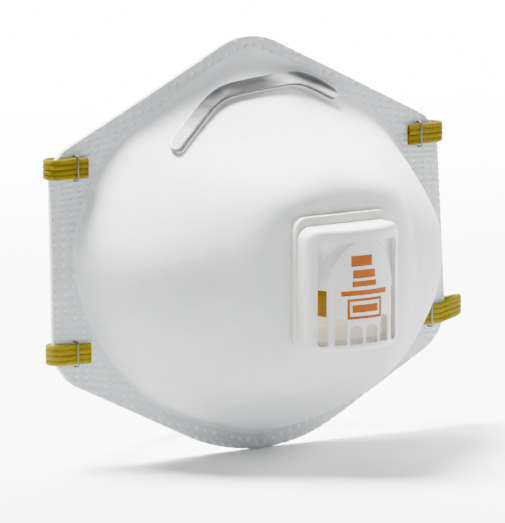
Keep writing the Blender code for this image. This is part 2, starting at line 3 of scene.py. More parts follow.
import bmesh
import bpy
import numpy as np
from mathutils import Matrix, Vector, noise


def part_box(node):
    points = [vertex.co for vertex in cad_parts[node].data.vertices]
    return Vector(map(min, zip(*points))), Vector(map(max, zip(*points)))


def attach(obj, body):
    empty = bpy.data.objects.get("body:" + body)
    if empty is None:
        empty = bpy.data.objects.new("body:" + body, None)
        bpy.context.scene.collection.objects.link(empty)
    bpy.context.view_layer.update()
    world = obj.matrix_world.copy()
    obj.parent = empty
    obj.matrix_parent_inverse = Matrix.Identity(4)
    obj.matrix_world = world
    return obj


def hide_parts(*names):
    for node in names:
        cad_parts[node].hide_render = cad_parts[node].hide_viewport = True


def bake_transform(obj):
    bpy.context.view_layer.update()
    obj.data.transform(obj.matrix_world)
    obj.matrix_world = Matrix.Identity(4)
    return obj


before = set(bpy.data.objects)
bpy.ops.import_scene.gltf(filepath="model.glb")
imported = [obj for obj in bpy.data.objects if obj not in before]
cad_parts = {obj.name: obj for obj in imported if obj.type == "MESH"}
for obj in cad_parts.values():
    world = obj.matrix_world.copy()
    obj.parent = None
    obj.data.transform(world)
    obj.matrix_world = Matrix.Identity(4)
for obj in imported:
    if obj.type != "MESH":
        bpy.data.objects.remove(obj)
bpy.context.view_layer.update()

# Cup, in metres, as in the CAD: flange outline corners and their radii, in X and Z.
OUTLINE_CORNERS = ((0.0, 0.0686, 0.024), (-0.0722, 0.0332, 0.012), (-0.0732, -0.0335, 0.015),
                   (0.0, -0.0693, 0.062), (0.0732, -0.0335, 0.015), (0.0722, 0.0332, 0.012))
FLANGE_SWEEP = 0.63
FLANGE_LEAN = 0.057
FLANGE_MIDDLE_Y = -0.0055
DOME_RADII = {90: 0.0645, 68: 0.0595, 55: 0.0592, 38: 0.0625, 20: 0.0640, 8: 0.0648, -8: 0.0620,
              -25: 0.0588, -45: 0.0558, -65: 0.0525, -90: 0.0525}
DOME_START = {90: 2.3, 75: 2.1, 55: 1.55, 35: 1.05, 15: 0.68, -5: 0.52, -25: 0.52, -55: 0.55, -90: 0.6}
DOME_MIDDLE = 0.70
DOME_CAP = 0.35
DOME_FULLNESS = 2.45
DOME_FRONT_Y = -0.052
DOME_OVAL = (0.062, 0.060)
PAD_Y = -0.0510
PAD_HALF = (0.0185, 0.0218)
PAD_BLEND = 1.9
HOLE_HALF = (0.0137, 0.0161)
CUP_THICKNESS = 0.0023
FLANGE_THICKNESS = 0.0019
GAP = 0.0003

# Dots welded into the flange.
DOT_PITCH = 0.0032
DOT_HALF = 0.00062
DOT_DEPTH = 0.00034
DOT_PUFF = 0.00009
# Painted shade: the flange's greyer colour. Painted backlight: the welded dots' lighter colour, as if light
# came through them.
FLANGE_PAINTED_SHADE = (0.765, 0.78, 0.79, 1.0)
WELD_PAINTED_BACKLIGHT = (0.93, 0.94, 0.94, 1.0)

# Valve.
VALVE_Z = -0.00375
SEAT_PLATE = 0.0020
SEAT_HALF = (0.0175, 0.02075)
SEAT_CORNER = 0.0042
TUB_HALF = (0.0128, 0.0152)
TUB_CORNER = 0.0050
TUB_WALL = 0.0012
TUB_BACK_Y = -0.0465
ORIFICE = (0.0084, 0.0080, -0.0092)
ORIFICE_CORNER = 0.0020
RIDGE_WIDTH = 0.0012
RIDGE_HEIGHT = 0.0010
RIDGE_CORNER = 0.0030
LEDGE_HEIGHT = 0.0035
CROSS_RIB_HALF = 0.0006
CROSS_RIB_CORNER = 0.0003
PAST = 0.0010
COVER_HALF_WIDTH = 0.0170
COVER_TOP = 0.0180
COVER_BOTTOM = -0.0200
COVER_CORNER = 0.0040
COVER_EDGE = 0.0016
COVER_WALL = 0.0012
COVER_AXIS_Y = -0.0392
COVER_RADIUS = 0.0260
RECESS_RADIUS = 0.0238
POCKET = (0.0145, 0.0138, -0.0182)
PANEL = (0.0111, 0.0142, -0.0008)
PANEL_FRONT = (0.0078, 0.0117)
PANEL_BACK = (0.0185, 0.0235)
SLOT_EDGES = (0.0115, 0.0144)
WINDOW_BOTTOM = -0.0178
WINDOWS = ((0.0005, 0.0051, -0.0120), (0.0059, 0.0098, -0.0094))
FLAP = (0.0100, 0.0125, -0.0115)
FLAP_CORNER = 0.0060
FLAP_THICKNESS = 0.0004
GLOW_INSET = 0.0010

# Nose clip and foam: middle lines on the dome, as X and Z.
CLIP_LINE = ((-0.0362, 0.0340), (-0.0255, 0.0411), (-0.0166, 0.0470), (-0.0112, 0.0494),
             (-0.0025, 0.0507), (0.0060, 0.0512), (0.0126, 0.0515), (0.0176, 0.0511),
             (0.0232, 0.0490), (0.0272, 0.0467), (0.0310, 0.0443))
FOAM_HALF_LINE = ((-0.0345, 0.0345), (-0.0260, 0.0405), (-0.0170, 0.0465), (-0.0080, 0.0500),
                  (0.0, 0.0508))
CLIP_WIDTH = 0.0050
CLIP_THICKNESS = 0.0008
GLUE_THICKNESS = 0.0003
FOAM_WIDTH = 0.0118
FOAM_THICKNESS = 0.0050

# Straps and staples.
STRAP_WIDTH = 0.0065
STRAP_THICKNESS = 0.0015
STRAP_HEIGHTS = {"upper": 0.0300, "lower": -0.0270}
STRAP_TAB_INNER = {"upper": 0.0600, "lower": 0.0612}
STRAP_EXIT_X = 0.0640
STRAP_STAND_OFF = 0.0034
STRAP_LEAD = 0.0030
STRAP_JOIN = 0.0004
STRAP_SLOPE = 0.62
STRAP_BULGE = {"upper_left": 0.0013, "upper_right": 0.0024, "lower_left": 0.0012,
               "lower_right": 0.0066}
STRAP_RISE = {"lower_right": 0.0016}
STRAP_ROUTE = ((0.0640, 0.0000, 0.0000), (0.0600, 0.0026, -0.0001), (0.0540, 0.0066, -0.0016),
               (0.0450, 0.0122, -0.0055), (0.0340, 0.0182, -0.0098), (0.0220, 0.0234, -0.0140),
               (0.0105, 0.0266, -0.0170), (0.0000, 0.0277, -0.0180))
STAPLE_X = {"upper": 0.0641, "lower": 0.0662}
STAPLE_WIRE = 0.0006
STAPLE_HALF = STRAP_WIDTH / 2 + GAP + STAPLE_WIRE / 2
STAPLE_CLINCH = 0.0022

# Camera: direction from the object, and how much of the picture it fills.
CAMERA_AZIMUTH = math.radians(-34)
CAMERA_ELEVATION = math.radians(9.3)
CAMERA_DISTANCE = 3.0
PICTURE_HEIGHT = 0.1624
AIM_RIGHT = 0.00217
AIM_UP = -0.00489


# --- Materials ----------------------------------------------------------------------------------


class Nodes:
    """Short ways to add nodes to a material."""

    def __init__(self, name):
        self.made = bpy.data.materials.new(name)
        self.made.use_nodes = True
        self.tree = self.made.node_tree
        self.shader = self.tree.nodes["Principled BSDF"]
        self.place = self.add("ShaderNodeTexCoord").outputs["Object"]

    def add(self, kind, **inputs):
        node = self.tree.nodes.new(kind)
        for name, value in inputs.items():
            socket = node.inputs[name.replace("_", " ")]
            if isinstance(value, bpy.types.NodeSocket):
                self.tree.links.new(value, socket)
            else:
                socket.default_value = value
        return node

    def link(self, output, name):
        self.tree.links.new(output, self.shader.inputs[name])

    def noise(self, scale, detail=4.0, roughness=0.6, distortion=0.0, stretch=None):
        where = self.place
        if stretch:
            where = self.add("ShaderNodeMapping", Vector=where, Scale=stretch).outputs["Vector"]
        made = self.add("ShaderNodeTexNoise", Vector=where, Scale=scale, Detail=detail,
                        Roughness=roughness, Distortion=distortion)
        return made.outputs["Fac"]

    def voronoi(self, scale):
        return self.add("ShaderNodeTexVoronoi", Vector=self.place, Scale=scale).outputs["Distance"]

    def math(self, operation, a, b=0.0):
        node = self.tree.nodes.new("ShaderNodeMath")
        node.operation = operation
        for socket, value in zip(node.inputs, (a, b)):
            if isinstance(value, bpy.types.NodeSocket):
                self.tree.links.new(value, socket)
            else:
                socket.default_value = value
        return node.outputs["Value"]

    def ramp(self, value, low, high, start=0.3, end=0.7):
        node = self.tree.nodes.new("ShaderNodeValToRGB")
        self.tree.links.new(value, node.inputs["Fac"])
        for stop, place, color in zip(node.color_ramp.elements, (start, end), (low, high)):
            stop.position = place
            stop.color = (*color, 1.0) if len(color) == 3 else color
        return node.outputs["Color"]

    def mix(self, factor, a, b, kind="MIX"):
        node = self.tree.nodes.new("ShaderNodeMix")
        node.data_type = "RGBA"
        node.blend_type = kind
        for name, value in (("Factor", factor), ("A", a), ("B", b)):
            socket = [s for s in node.inputs if s.name == name and s.enabled][0]
            if isinstance(value, bpy.types.NodeSocket):
                self.tree.links.new(value, socket)
            else:
                socket.default_value = value
        return [s for s in node.outputs if s.enabled][0]

    def attribute(self, name):
        node = self.tree.nodes.new("ShaderNodeAttribute")
        node.attribute_name = name
        return node.outputs["Fac"]

    def bump(self, height, distance, strength):
        node = self.add("ShaderNodeBump", Height=height, Distance=distance, Strength=strength)
        self.link(node.outputs["Normal"], "Normal")


def grey(value):
    return (value, value, value)


def nonwoven_material(name, low, high):
    """Soft fibre web: fine fuzz, faint blotches, painted shade over the flange, and painted backlight on the
    dots welded into the flange.
    """
    made = Nodes(name)
    fuzz = made.noise(1500.0, 8.0, 0.75, 0.8)
    blotch = made.noise(140.0, 3.0, 0.5, 0.4)
    tone = made.math("ADD", made.math("MULTIPLY", fuzz, 0.55), made.math("MULTIPLY", blotch, 0.45))
    color = made.ramp(tone, low, high, 0.35, 0.62)
    # Painted shade: the flange is multiplied greyer than the dome.
    color_with_painted_shade = made.mix(made.attribute("flange"), color, FLANGE_PAINTED_SHADE, "MULTIPLY")
    # Painted backlight: the welded dots are mixed towards a lighter colour.
    weld = made.math("MULTIPLY", made.attribute("weld"), 0.75)
    made.link(made.mix(weld, color_with_painted_shade, WELD_PAINTED_BACKLIGHT), "Base Color")
    made.link(made.ramp(fuzz, grey(0.80), grey(0.95)), "Roughness")
    made.shader.inputs["Sheen Weight"].default_value = 0.15
    made.shader.inputs["Sheen Roughness"].default_value = 0.5
    threads = made.noise(900.0, 5.0, 0.7, 1.5, (1.0, 1.0, 0.35))
    height = made.math("ADD", made.math("MULTIPLY", fuzz, 0.6), made.math("MULTIPLY", threads, 0.4))
    made.bump(height, 0.00010, 0.55)
    return made.made


def plastic_material(name, color, roughness):
    made = Nodes(name)
    grain = made.noise(900.0, 5.0, 0.6)
    cloud = made.noise(60.0, 2.0, 0.5)
    low = tuple(c * 0.97 for c in color)
    made.link(made.ramp(cloud, low, color), "Base Color")
    made.link(made.ramp(grain, grey(roughness - 0.05), grey(roughness + 0.07)), "Roughness")
    made.shader.inputs["Subsurface Weight"].default_value = 0.12
    made.shader.inputs["Subsurface Scale"].default_value = 0.002
    made.bump(grain, 0.00002, 0.3)
    return made.made


def seat_material():
    """The seat's cream plastic, with a faint glow under the cover for the light that comes through it."""
    made = Nodes("seat_plastic_look")
    cloud = made.noise(70.0, 2.0, 0.5)
    made.link(made.ramp(cloud, (0.80, 0.77, 0.68), (0.84, 0.81, 0.72)), "Base Color")
    made.link(made.ramp(cloud, grey(0.32), grey(0.42)), "Roughness")
    made.shader.inputs["Emission Color"].default_value = (1.0, 0.90, 0.72, 1.0)
    place = made.add("ShaderNodeSeparateXYZ", Vector=made.place).outputs
    rise = made.math("SUBTRACT", place["Z"], VALVE_Z + (COVER_TOP + COVER_BOTTOM) / 2)
    half_height = (COVER_TOP - COVER_BOTTOM) / 2 - GLOW_INSET
    in_width = made.math("LESS_THAN", made.math("ABSOLUTE", place["X"]), COVER_HALF_WIDTH - GLOW_INSET)
    in_height = made.math("LESS_THAN", made.math("ABSOLUTE", rise), half_height)
    glow = made.math("MULTIPLY", made.math("MULTIPLY", in_width, in_height), 0.55)
    made.link(glow, "Emission Strength")
    made.bump(made.noise(900.0, 5.0, 0.6), 0.00002, 0.3)
    return made.made


def rubber_material():
    made = Nodes("flap_rubber_look")
    cloud = made.noise(220.0, 4.0, 0.6)
    made.link(made.ramp(cloud, (0.24, 0.115, 0.0003), (0.31, 0.152, 0.0006)), "Base Color")
    made.link(made.ramp(cloud, grey(0.30), grey(0.42)), "Roughness")
    made.shader.inputs["Specular IOR Level"].default_value = 0.15
    made.bump(made.noise(700.0, 3.0), 0.00002, 0.4)
    return made.made


def metal_material(name, color, roughness, brushed):
    made = Nodes(name)
    lines = made.noise(700.0, 6.0, 0.65, 0.0, brushed)
    dark = tuple(c * 0.88 for c in color)
    made.link(made.ramp(lines, dark, color), "Base Color")
    made.link(made.ramp(lines, grey(roughness - 0.06), grey(roughness + 0.10)), "Roughness")
    made.shader.inputs["Metallic"].default_value = 1.0
    made.bump(lines, 0.00002, 0.35)
    return made.made


def foam_material():
    made = Nodes("nose_foam_look")
    cells = made.voronoi(1700.0)
    fine = made.noise(2600.0, 4.0, 0.7)
    made.link(made.ramp(cells, grey(0.22), grey(0.34), 0.1, 0.6), "Base Color")
    made.shader.inputs["Roughness"].default_value = 0.95
    made.bump(made.math("ADD", cells, made.math("MULTIPLY", fine, 0.3)), 0.00025, 0.9)
    return made.made


def braid_material():
    """Yellow elastic braid: painted shade down in the grooves, with fine crossing threads."""
    made = Nodes("strap_braid_look")
    thread = made.noise(1400.0, 5.0, 0.7, 0.6)
    yellow = made.ramp(thread, (0.095, 0.073, 0.0001), (0.155, 0.122, 0.0002))
    # Painted shade: the grooves between the ribs are coloured darker.
    groove_painted_shade = made.mix(made.attribute("groove"), yellow, (0.050, 0.027, 0.0001, 1.0))
    made.link(groove_painted_shade, "Base Color")
    made.link(made.ramp(thread, grey(0.62), grey(0.80)), "Roughness")
    made.shader.inputs["Specular IOR Level"].default_value = 0.08
    made.bump(thread, 0.00008, 0.6)
    return made.made


def glue_material():
    made = Nodes("clip_adhesive_look")
    cloud = made.noise(500.0, 4.0)
    made.link(made.ramp(cloud, (0.74, 0.73, 0.68), (0.83, 0.82, 0.77)), "Base Color")
    made.link(made.ramp(cloud, grey(0.35), grey(0.55)), "Roughness")
    made.bump(cloud, 0.00004, 0.4)
    return made.made


def print_material():
    made = Nodes("orange_print_look")
    speck = made.noise(1800.0, 4.0, 0.7)
    made.link(made.ramp(speck, (0.17, 0.040, 0.0002), (0.23, 0.058, 0.0004)), "Base Color")
    made.link(made.ramp(speck, grey(0.40), grey(0.55)), "Roughness")
    made.shader.inputs["Specular IOR Level"].default_value = 0.12
    return made.made


# --- Meshes -------------------------------------------------------------------------------------


def new_object(name, data, surface, body="mask_body"):
    obj = bpy.data.objects.new(name, data)
    bpy.context.scene.collection.objects.link(obj)
    data.materials.append(surface)
    if body:
        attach(obj, body)
    return obj


def shade(obj, angle=40):
    obj.data.shade_smooth()
    obj.data.set_sharp_from_angle(angle=math.radians(angle))


def grid_mesh(name, grid, around=True, caps=False):
    """Quads over a grid of points, rows by columns, closed round its columns."""
    grid = np.asarray(grid, float)
    rows, columns = grid.shape[:2]
    index = np.arange(rows * columns).reshape(rows, columns)
    ahead = np.roll(index, -1, axis=1)
    a, b, c, d = index[:-1], ahead[:-1], ahead[1:], index[1:]
    faces = np.stack([a, b, c, d], axis=-1)
    if not around:
        faces = faces[:, :-1]
    faces = faces.reshape(-1, 4).tolist()
    if caps:
        faces += [index[0, ::-1].tolist(), index[-1].tolist()]
    data = bpy.data.meshes.new(name)
    data.from_pydata(grid.reshape(-1, 3).tolist(), [], faces)
    data.update()
    return data


def paint(data, name, values):
    layer = data.attributes.new(name, "FLOAT", "POINT")
    layer.data.foreach_set("value", np.asarray(values, np.float32).ravel())


def smoothstep(t):
    t = np.clip(t, 0.0, 1.0)
    return t * t * (3 - 2 * t)


# --- Shape of the cup ---------------------------------------------------------------------------


def fillet(corner, before, after, radius, steps=24):
    to_before = (before - corner) / np.linalg.norm(before - corner)
    to_after = (after - corner) / np.linalg.norm(after - corner)
    half = math.acos(float(to_before @ to_after)) / 2
    centre = corner + (to_before + to_after) / (2 * math.cos(half)) * radius / math.sin(half)
    first = corner + to_before * radius / math.tan(half) - centre
    last = corner + to_after * radius / math.tan(half) - centre
    start = math.atan2(first[1], first[0])
    turn = math.remainder(math.atan2(last[1], last[0]) - start, 2 * math.pi)
    angles = [start + turn * k / steps for k in range(steps + 1)]
    return [centre + radius * np.array([math.cos(a), math.sin(a)]) for a in angles]


def flange_outline():
    corners = [np.array(c[:2]) for c in OUTLINE_CORNERS]
    points = []
    for i, (*_, radius) in enumerate(OUTLINE_CORNERS):
        points += fillet(corners[i], corners[i - 1], corners[(i + 1) % 6], radius)
    ends = points[1:] + points[:1]
    return np.array([a + (b - a) * k / 30 for a, b in zip(points, ends) for k in range(30)])


OUTLINE = flange_outline() - np.array([0.0, VALVE_Z])
OUTLINE_ANGLES = np.arctan2(OUTLINE[:, 1], OUTLINE[:, 0])
OUTLINE_RADII = np.hypot(OUTLINE[:, 0], OUTLINE[:, 1])


def outline_radius(angle):
    order = np.argsort(OUTLINE_ANGLES)
    return np.interp(angle, OUTLINE_ANGLES[order], OUTLINE_RADII[order], period=2 * math.pi)


def by_direction(angle, table):
    height = np.degrees(np.arcsin(np.clip(np.sin(angle), -1.0, 1.0)))
    keys = np.array(sorted(table), float)
    values = np.array([table[k] for k in sorted(table)], float)
    slopes = np.gradient(values, keys)
    slopes[0] = slopes[-1] = 0.0
    i = np.clip(np.searchsorted(keys, height) - 1, 0, len(keys) - 2)
    span = keys[i + 1] - keys[i]
    t = (height - keys[i]) / span
    start = (1 + 2 * t) * (1 - t) ** 2 * values[i] + t * (1 - t) ** 2 * span * slopes[i]
    end = t * t * (3 - 2 * t) * values[i + 1] + t * t * (t - 1) * span * slopes[i + 1]
    return start + end


def superellipse_radius(angle, half, power):
    across = np.abs(np.cos(angle) / half[0]) ** power + np.abs(np.sin(angle) / half[1]) ** power
    return across ** (-1 / power)


def flange_y(x, z):
    return FLANGE_SWEEP * x * x + FLANGE_MIDDLE_Y + FLANGE_LEAN * z


def cup_y(x, z):
    """Depth of the cup's outer face at points in X and Z."""
    x, dz = np.asarray(x, float), np.asarray(z, float) - VALVE_Z
    angle, radius = np.arctan2(dz, x), np.hypot(x, dz)
    edge = by_direction(angle, DOME_RADII)
    share = np.minimum(radius / edge, 1.0)
    start_y = flange_y(edge * np.cos(angle), VALVE_Z + edge * np.sin(angle))
    oval = superellipse_radius(angle, DOME_OVAL, 2)
    around = edge + (oval - edge) * smoothstep(1.5 * (1 - share))
    outward = smoothstep((share - DOME_CAP) / (1 - DOME_CAP))
    power = DOME_MIDDLE + (by_direction(angle, DOME_START) - DOME_MIDDLE) * outward
    inside = np.clip(1 - (share * edge / around) ** DOME_FULLNESS, 0.0, 1.0)
    y = start_y + (DOME_FRONT_Y - start_y) * inside ** power
    pad = (np.abs(x / PAD_HALF[0]) ** 5 + np.abs(dz / PAD_HALF[1]) ** 5) ** 0.2
    y = y + (PAD_Y - y) * smoothstep((PAD_BLEND - pad) / (PAD_BLEND - 1))
    return np.where(radius >= edge, flange_y(x, dz + VALVE_Z), y)


def cup_point(x, z):
    return Vector((x, float(cup_y(x, z)), z))


def cup_normal(x, z, step=0.001):
    along_x = cup_point(x + step, z) - cup_point(x - step, z)
    along_z = cup_point(x, z + step) - cup_point(x, z - step)
    return along_x.cross(along_z).normalized()


def dot_pattern(x, z):
    """How far each place is into a welded dot, from 0 to 1, and how much it puffs up between dots."""
    slant = np.where(z > 0, 0.40, -0.28) * np.abs(x) * smoothstep((np.abs(z) - 0.005) / 0.045)
    u = x / DOT_PITCH + 0.5
    v = (z + slant) / DOT_PITCH
    du = np.abs(u - np.round(u)) * DOT_PITCH
    dv = np.abs(v - np.round(v)) * DOT_PITCH
    away = (du ** 3 + dv ** 3) ** (1 / 3)
    inside = 1 - smoothstep((away - DOT_HALF * 0.55) / (DOT_HALF * 0.8))
    puff = np.sin(math.pi * (u - np.floor(u))) ** 2 * np.sin(math.pi * (v - np.floor(v))) ** 2
    return inside, puff


def cup_surface(directions, flange_steps, dome_steps):
    """Points, outward normals and distance outside the dome, edge to hole."""
    angle = np.arange(directions) * 2 * math.pi / directions
    outer = outline_radius(angle)
    edge = by_direction(angle, DOME_RADII)
    hole = superellipse_radius(angle, HOLE_HALF, 8)
    out = np.linspace(0, 1, flange_steps + 1)[:, None]
    inward = (np.arange(1, dome_steps + 1)[:, None] / dome_steps) ** 1.2
    radius = np.vstack([outer + (edge - outer) * out, edge + (hole - edge) * inward])
    x, z = radius * np.cos(angle), VALVE_Z + radius * np.sin(angle)
    points = np.stack([x, cup_y(x, z), z], axis=-1)
    first, last = max(flange_steps - 10, 2), flange_steps + 12
    for _ in range(6):
        rows = points[first - 1:last + 1]
        points[first:last] = (rows[:-2] + 2 * rows[1:-1] + rows[2:]) / 4
    along = np.gradient(points, axis=0)
    round_ = np.roll(points, -1, axis=1) - np.roll(points, 1, axis=1)
    normal = np.cross(round_, along)
    normal /= np.linalg.norm(normal, axis=-1, keepdims=True)
    normal *= -np.sign(normal[..., 1:2] + 1e-12)
    return points, normal, radius - edge


def ripple(points):
    """Faint wrinkles and unevenness of the moulded web, in metres."""
    flat = points.reshape(-1, 3)
    made = np.empty(len(flat))
    for i, (x, y, z) in enumerate(flat.tolist()):
        broad = noise.noise(Vector((x * 55, y * 55, z * 55)))
        streak = noise.noise(Vector((x * 420 + 6 * broad, y * 300, z * 90)))
        crease = noise.noise(Vector((x * 110, y * 260, z * 480 + 5 * broad)))
        made[i] = 0.00016 * broad + 0.00005 * streak + 0.00004 * crease
    return made.reshape(points.shape[:2])


def cup_skins(web, shell):
    """Outer web and inner shell, each turned over the flange's edge to meet half way."""
    directions, flange_steps, dome_steps = ((1280, 56, 88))
    points, normal, outside = cup_surface(directions, flange_steps, dome_steps)
    x, z = points[..., 0], points[..., 2]
    dots, puff = dot_pattern(x, z)
    on_flange = smoothstep((outside - 0.0008) / 0.0010)
    weld = dots * on_flange
    near_valve = np.hypot(x / PAD_HALF[0], (z - VALVE_Z) / PAD_HALF[1])
    loose = (1 - on_flange) * smoothstep((near_valve - 1.0) / 0.5)
    front = weld * -DOT_DEPTH + on_flange * puff * DOT_PUFF + ripple(points) * loose
    thick = CUP_THICKNESS + (FLANGE_THICKNESS - CUP_THICKNESS) * on_flange
    middle = points - normal * (thick / 2)[..., None]

    def skin(name, surface, side, relief):
        face = middle + side * normal * (thick / 2 + relief)[..., None]
        rim_out = face[:1] + (face[:1] - face[2:3]) * 0.25 - side * normal[:1] * 0.00012
        rim_mid = middle[:1] + (face[:1] - face[2:3]) * 0.55
        grid = np.concatenate([rim_mid, rim_out, face])
        if side > 0:
            grid = grid[:, ::-1]
        data = grid_mesh(name, grid)
        for label, values in (("weld", weld), ("flange", on_flange)):
            values = np.concatenate([values[:1] * 0, values[:1] * 0, values])
            paint(data, label, values[:, ::-1] if side > 0 else values)
        obj = new_object(name, data, surface)
        obj.data.shade_smooth()
        return obj

    cover = skin("cup_cover_web", web, 1, front)
    back = np.where(weld > 0, -0.6 * weld * DOT_DEPTH, 0.0)
    liner = skin("cup_inner_shell", shell, -1, back)
    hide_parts("outer_cover_web", "filter_layer")
    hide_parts("shaping_shell")


# --- Lines and bands ----------------------------------------------------------------------------


def smooth_line(points, steps):
    """Catmull-Rom curve through the points, with this many steps between neighbours."""
    points = [Vector(p) for p in points]
    ends = [2 * points[0] - points[1]] + points + [2 * points[-1] - points[-2]]
    line = []
    for a, b, c, d in zip(ends, ends[1:], ends[2:], ends[3:]):
        for k in range(steps):
            t = k / steps
            line.append(0.5 * (2 * b + (c - a) * t + (2 * a - 5 * b + 4 * c - d) * t * t
                               + (3 * b - a - 3 * c + d) * t ** 3))
    return line + [points[-1]]


def evenly(line, step):
    """The line again with points this far apart, ends included."""
    points = np.array([tuple(p) for p in line])
    gone = np.concatenate([[0], np.cumsum(np.linalg.norm(np.diff(points, axis=0), axis=1))])
    places = np.linspace(0, gone[-1], max(2, round(gone[-1] / step) + 1))
    return [Vector([float(np.interp(s, gone, points[:, k])) for k in range(3)]) for s in places], places


def rounded_section(width, low, high, rounding, steps=4):
    """Cross-section of a band as across and height, with its corners rounded."""
    points = []
    for sx, cz, start in ((1, high - rounding, 0), (-1, high - rounding, 90),
                          (-1, low + rounding, 180), (1, low + rounding, 270)):
        cx = sx * (width / 2 - rounding)
        for k in range(steps + 1):
            angle = math.radians(start + 90 * k / steps)
            points.append((cx + rounding * math.cos(angle), cz + rounding * math.sin(angle)))
        if sx * math.cos(math.radians(start)) >= 0 and start in (0, 180):
            inner = [(cx * (1 - 2 * k / 8), points[-1][1]) for k in range(1, 8)]
            points += inner
    return points


def draped(name, line, width, low, high, rounding, surface, step=0.0006, round_ends=True):
    """A band lying on the cup, with rounded edges and round ends."""
    stations, gone = evenly(line, step)
    total, reach = gone[-1], width / 2 if round_ends else rounding * 1.5
    extra = [reach * (1 - math.cos(math.pi / 2 * k / 6)) for k in range(1, 7)]
    places = sorted({*[round(g, 7) for g in gone if reach < g < total - reach], 1e-5, total - 1e-5,
                     *extra, *[total - e for e in extra]})
    points = np.array([tuple(p) for p in stations])
    section = rounded_section(width, low, high, rounding)
    rows = []
    for s in places:
        at = Vector([float(np.interp(s, gone, points[:, k])) for k in range(3)])
        ahead = Vector([float(np.interp(min(s + 0.0015, total), gone, points[:, k])) for k in range(3)])
        astern = Vector([float(np.interp(max(s - 0.0015, 0), gone, points[:, k])) for k in range(3)])
        along = ahead - astern
        across = Vector((-along.z, 0.0, along.x)).normalized()
        near_end = min(s, total - s)
        narrow = 1.0
        if near_end < reach:
            drop = 1 - near_end / reach
            narrow = max(math.sqrt(max(1 - drop * drop, 0.0)), 0.03)
            narrow = narrow if round_ends else 1 - (1 - narrow) * rounding / (width / 2)
        tip = 0.00025
        test = at + across * tip
        back = at - across * tip
        stretch = (cup_point(test.x, test.z) - cup_point(back.x, back.z)).length / (2 * tip)
        row = []
        for off, height in section:
            place = at + across * off * narrow / stretch
            foot = cup_point(place.x, place.z)
            row.append(tuple(foot + cup_normal(place.x, place.z, 0.002) * height))
        rows.append(row)
    obj = new_object(name, grid_mesh(name, rows, True, True), surface)
    fix_normals(obj)
    shade(obj, 50)
    return obj


def fix_normals(obj):
    mesh = bmesh.new()
    mesh.from_mesh(obj.data)
    bmesh.ops.recalc_face_normals(mesh, faces=mesh.faces)
    mesh.to_mesh(obj.data)
    mesh.free()


def nose_pieces(metal, glue, foam):
    line = smooth_line([(x, 0.0, z) for x, z in CLIP_LINE], 8)
    low = 2 * GAP
    film = draped("nose_clip_glue", smooth_line([(x * 0.98, 0.0, z) for x, z in CLIP_LINE], 8),
                  0.0046, -0.00005, low + GLUE_THICKNESS, 0.0001, glue)
    low += GLUE_THICKNESS
    clip = draped("nose_clip_strip", line, CLIP_WIDTH, low, low + GAP + CLIP_THICKNESS, 0.00022, metal)
    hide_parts("nose_clip_adhesive")
    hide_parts("nose_clip")
    mirrored = [(-x, z) for x, z in reversed(FOAM_HALF_LINE[:-1])]
    line = smooth_line([(x, 0.0, z) for x, z in list(FOAM_HALF_LINE) + mirrored], 8)
    high = -CUP_THICKNESS - 0.0001
    pad = draped("nose_foam_pad", line, FOAM_WIDTH, high - FOAM_THICKNESS, high, 0.0012, foam, 0.0008,
                 False)
    for vertex in pad.data.vertices:
        x, y, z = vertex.co
        vertex.co.y += 0.00012 * noise.noise(Vector((x * 300, y * 300, z * 300)))
    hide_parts("nose_foam")


# --- Valve --------------------------------------------------------------------------------------


def rounded_box(half_width, top, bottom, radius, steps=8):
    points = []
    for sx, z, start in ((1, top, 0), (-1, top, 90), (-1, bottom, 180), (1, bottom, 270)):
        cx = sx * (half_width - radius)
        cz = z - radius if z == top else z + radius
        for k in range(steps + 1):
            angle = math.radians(start + 90 * k / steps)
            points.append((cx + radius * math.cos(angle), cz + radius * math.sin(angle)))
    return points


def arch(half_width, top, shoulder, bottom, steps=40):
    turns = [math.pi * k / steps for k in range(steps + 1)]
    crown = [(half_width * math.cos(a), shoulder + (top - shoulder) * math.sin(a)) for a in turns]
    return crown + [(-half_width, bottom), (half_width, bottom)]


def prism(outline, front, back):
    """An outline in X and height above the valve's middle, as a solid helper object."""
    mesh = bmesh.new()
    face = mesh.faces.new([mesh.verts.new((x, back, VALVE_Z + z)) for x, z in outline])
    grown = bmesh.ops.extrude_face_region(mesh, geom=[face])
    moved = [v for v in grown["geom"] if isinstance(v, bmesh.types.BMVert)]
    bmesh.ops.translate(mesh, verts=moved, vec=(0, front - back, 0))
    return helper(mesh)


def barrel(radius, half_height=0.03, steps=96):
    spread = math.radians(62)
    turns = [-spread + 2 * spread * k / steps for k in range(steps + 1)]
    front = [(radius * math.sin(a), COVER_AXIS_Y - radius * math.cos(a)) for a in turns]
    outline = [(front[0][0], COVER_AXIS_Y)] + front + [(front[-1][0], COVER_AXIS_Y)]
    mesh = bmesh.new()
    face = mesh.faces.new([mesh.verts.new((x, y, VALVE_Z - half_height)) for x, y in outline])
    grown = bmesh.ops.extrude_face_region(mesh, geom=[face])
    moved = [v for v in grown["geom"] if isinstance(v, bmesh.types.BMVert)]
    bmesh.ops.translate(mesh, verts=moved, vec=(0, 0, 2 * half_height))
    return helper(mesh)


def helper(mesh):
    bmesh.ops.recalc_face_normals(mesh, faces=mesh.faces)
    data = bpy.data.meshes.new("helper")
    mesh.to_mesh(data)
    mesh.free()
    obj = bpy.data.objects.new("helper", data)
    bpy.context.scene.collection.objects.link(obj)
    return obj


def cut(obj, operation, other):
    """Boolean with a helper, which is used up."""
    step = obj.modifiers.new("step", "BOOLEAN")
    step.operation = operation
    step.object = other
    step.solver = "EXACT"
    settle(obj)
    bpy.data.objects.remove(other, do_unlink=True)
    return obj


def settle(obj):
    """Turns the object's modifiers into its mesh."""
    graph = bpy.context.evaluated_depsgraph_get()
    made = bpy.data.meshes.new_from_object(obj.evaluated_get(graph))
    obj.modifiers.clear()
    obj.data = made


